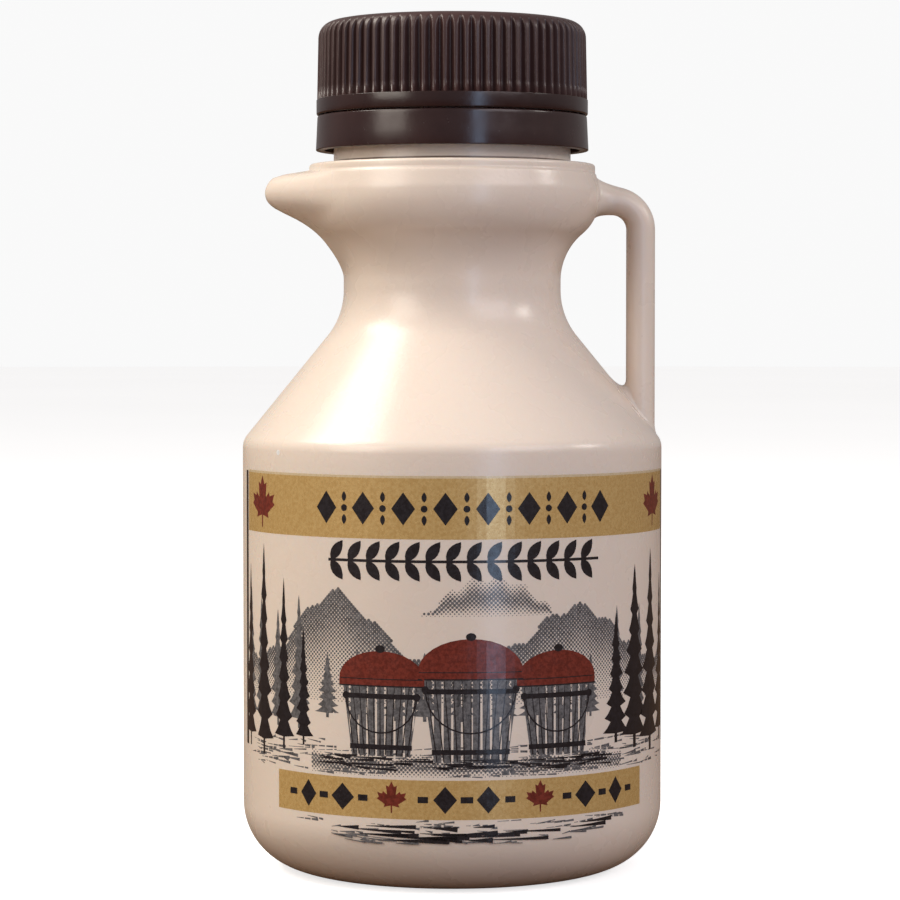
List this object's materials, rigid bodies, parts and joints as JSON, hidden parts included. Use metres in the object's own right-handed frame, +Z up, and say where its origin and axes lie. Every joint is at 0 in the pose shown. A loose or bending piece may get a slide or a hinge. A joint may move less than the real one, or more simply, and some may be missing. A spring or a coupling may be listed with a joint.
{
  "type": "plastic syrup jug",
  "caption": "Small round plastic syrup jug, cream with a printed panel, with a waisted neck, pitcher lip, loop handle and ribbed brown screw cap above a tamper ring.",
  "frame": {"origin": "middle of the base, on the surface that the jug stands on", "axes": "+Z up along the jug's axis, the printed front faces -Y, the loop handle is at +X and the pouring lip at -X"},
  "size_m": [0.0635, 0.0634, 0.1276],
  "materials": {
    "jug": "satin, slightly translucent cream",
    "cap": "satin dark brown",
    "tamper_band": "smooth dark brown"
  },
  "bodies": {
    "root": {"jug": "jug", "cap": "cap", "tamper_band": "tamper_band"}
  },
  "joints": []
}
